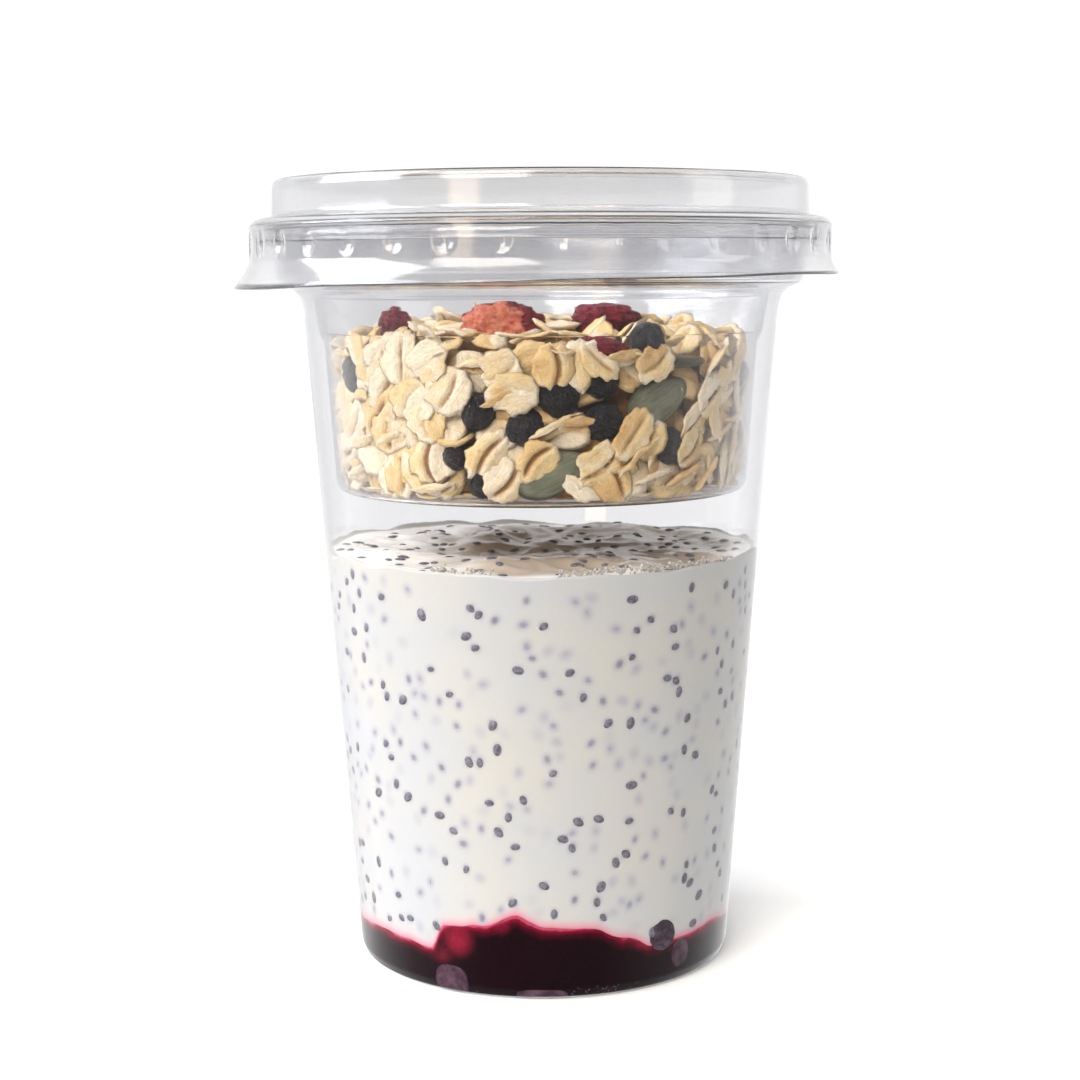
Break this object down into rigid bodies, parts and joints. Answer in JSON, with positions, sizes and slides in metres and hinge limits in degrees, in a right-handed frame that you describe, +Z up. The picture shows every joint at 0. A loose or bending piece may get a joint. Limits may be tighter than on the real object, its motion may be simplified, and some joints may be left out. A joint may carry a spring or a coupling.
{
  "type": "yogurt parfait in a lidded cup",
  "caption": "Clear tapered cup with a push-on lid, layered with berry compote, yogurt with chia seeds, and an insert of muesli with dried fruit and pumpkin seeds.",
  "frame": {"origin": "middle of the base, on the surface that the cup stands on", "axes": "+Z up through the lid, -Y towards the front of the cup, +X to the right of the front"},
  "size_m": [0.1006, 0.1006, 0.131],
  "materials": {
    "cup_sheet": "clear thermoformed PET, glossy",
    "insert_sheet": "clear thermoformed PET, glossy",
    "lid_sheet": "clear thermoformed PET, glossy",
    "compote": "dark red berry compote, wet",
    "soaked_berry": "soaked dark berry",
    "yogurt": "plain yogurt with chia seeds, moist",
    "oats": "rolled oats, dry",
    "dried_berry": "dried dark berry, wrinkled",
    "pumpkin_seed": "hulled pumpkin seed, satin",
    "red_fruit": "freeze-dried red fruit, rough"
  },
  "bodies": {
    "root": {"cup": "cup_sheet", "insert": "insert_sheet", "lid": "lid_sheet", "compote": "compote", "compote_berry": "soaked_berry", "yogurt": "yogurt", "muesli": "oats", "berry_01": "dried_berry", "berry_02": "dried_berry", "berry_03": "dried_berry", "berry_04": "dried_berry", "berry_05": "dried_berry", "berry_06": "dried_berry", "berry_07": "dried_berry", "berry_08": "dried_berry", "berry_09": "dried_berry", "berry_10": "dried_berry", "berry_11": "dried_berry", "berry_12": "dried_berry", "berry_13": "dried_berry", "berry_14": "dried_berry", "berry_15": "dried_berry", "pumpkin_seed_1": "pumpkin_seed", "pumpkin_seed_2": "pumpkin_seed", "pumpkin_seed_3": "pumpkin_seed", "pumpkin_seed_4": "pumpkin_seed", "pumpkin_seed_5": "pumpkin_seed", "red_fruit_1": "red_fruit", "red_fruit_2": "red_fruit", "red_fruit_3": "red_fruit", "red_fruit_4": "red_fruit", "red_fruit_5": "red_fruit"}
  },
  "joints": []
}
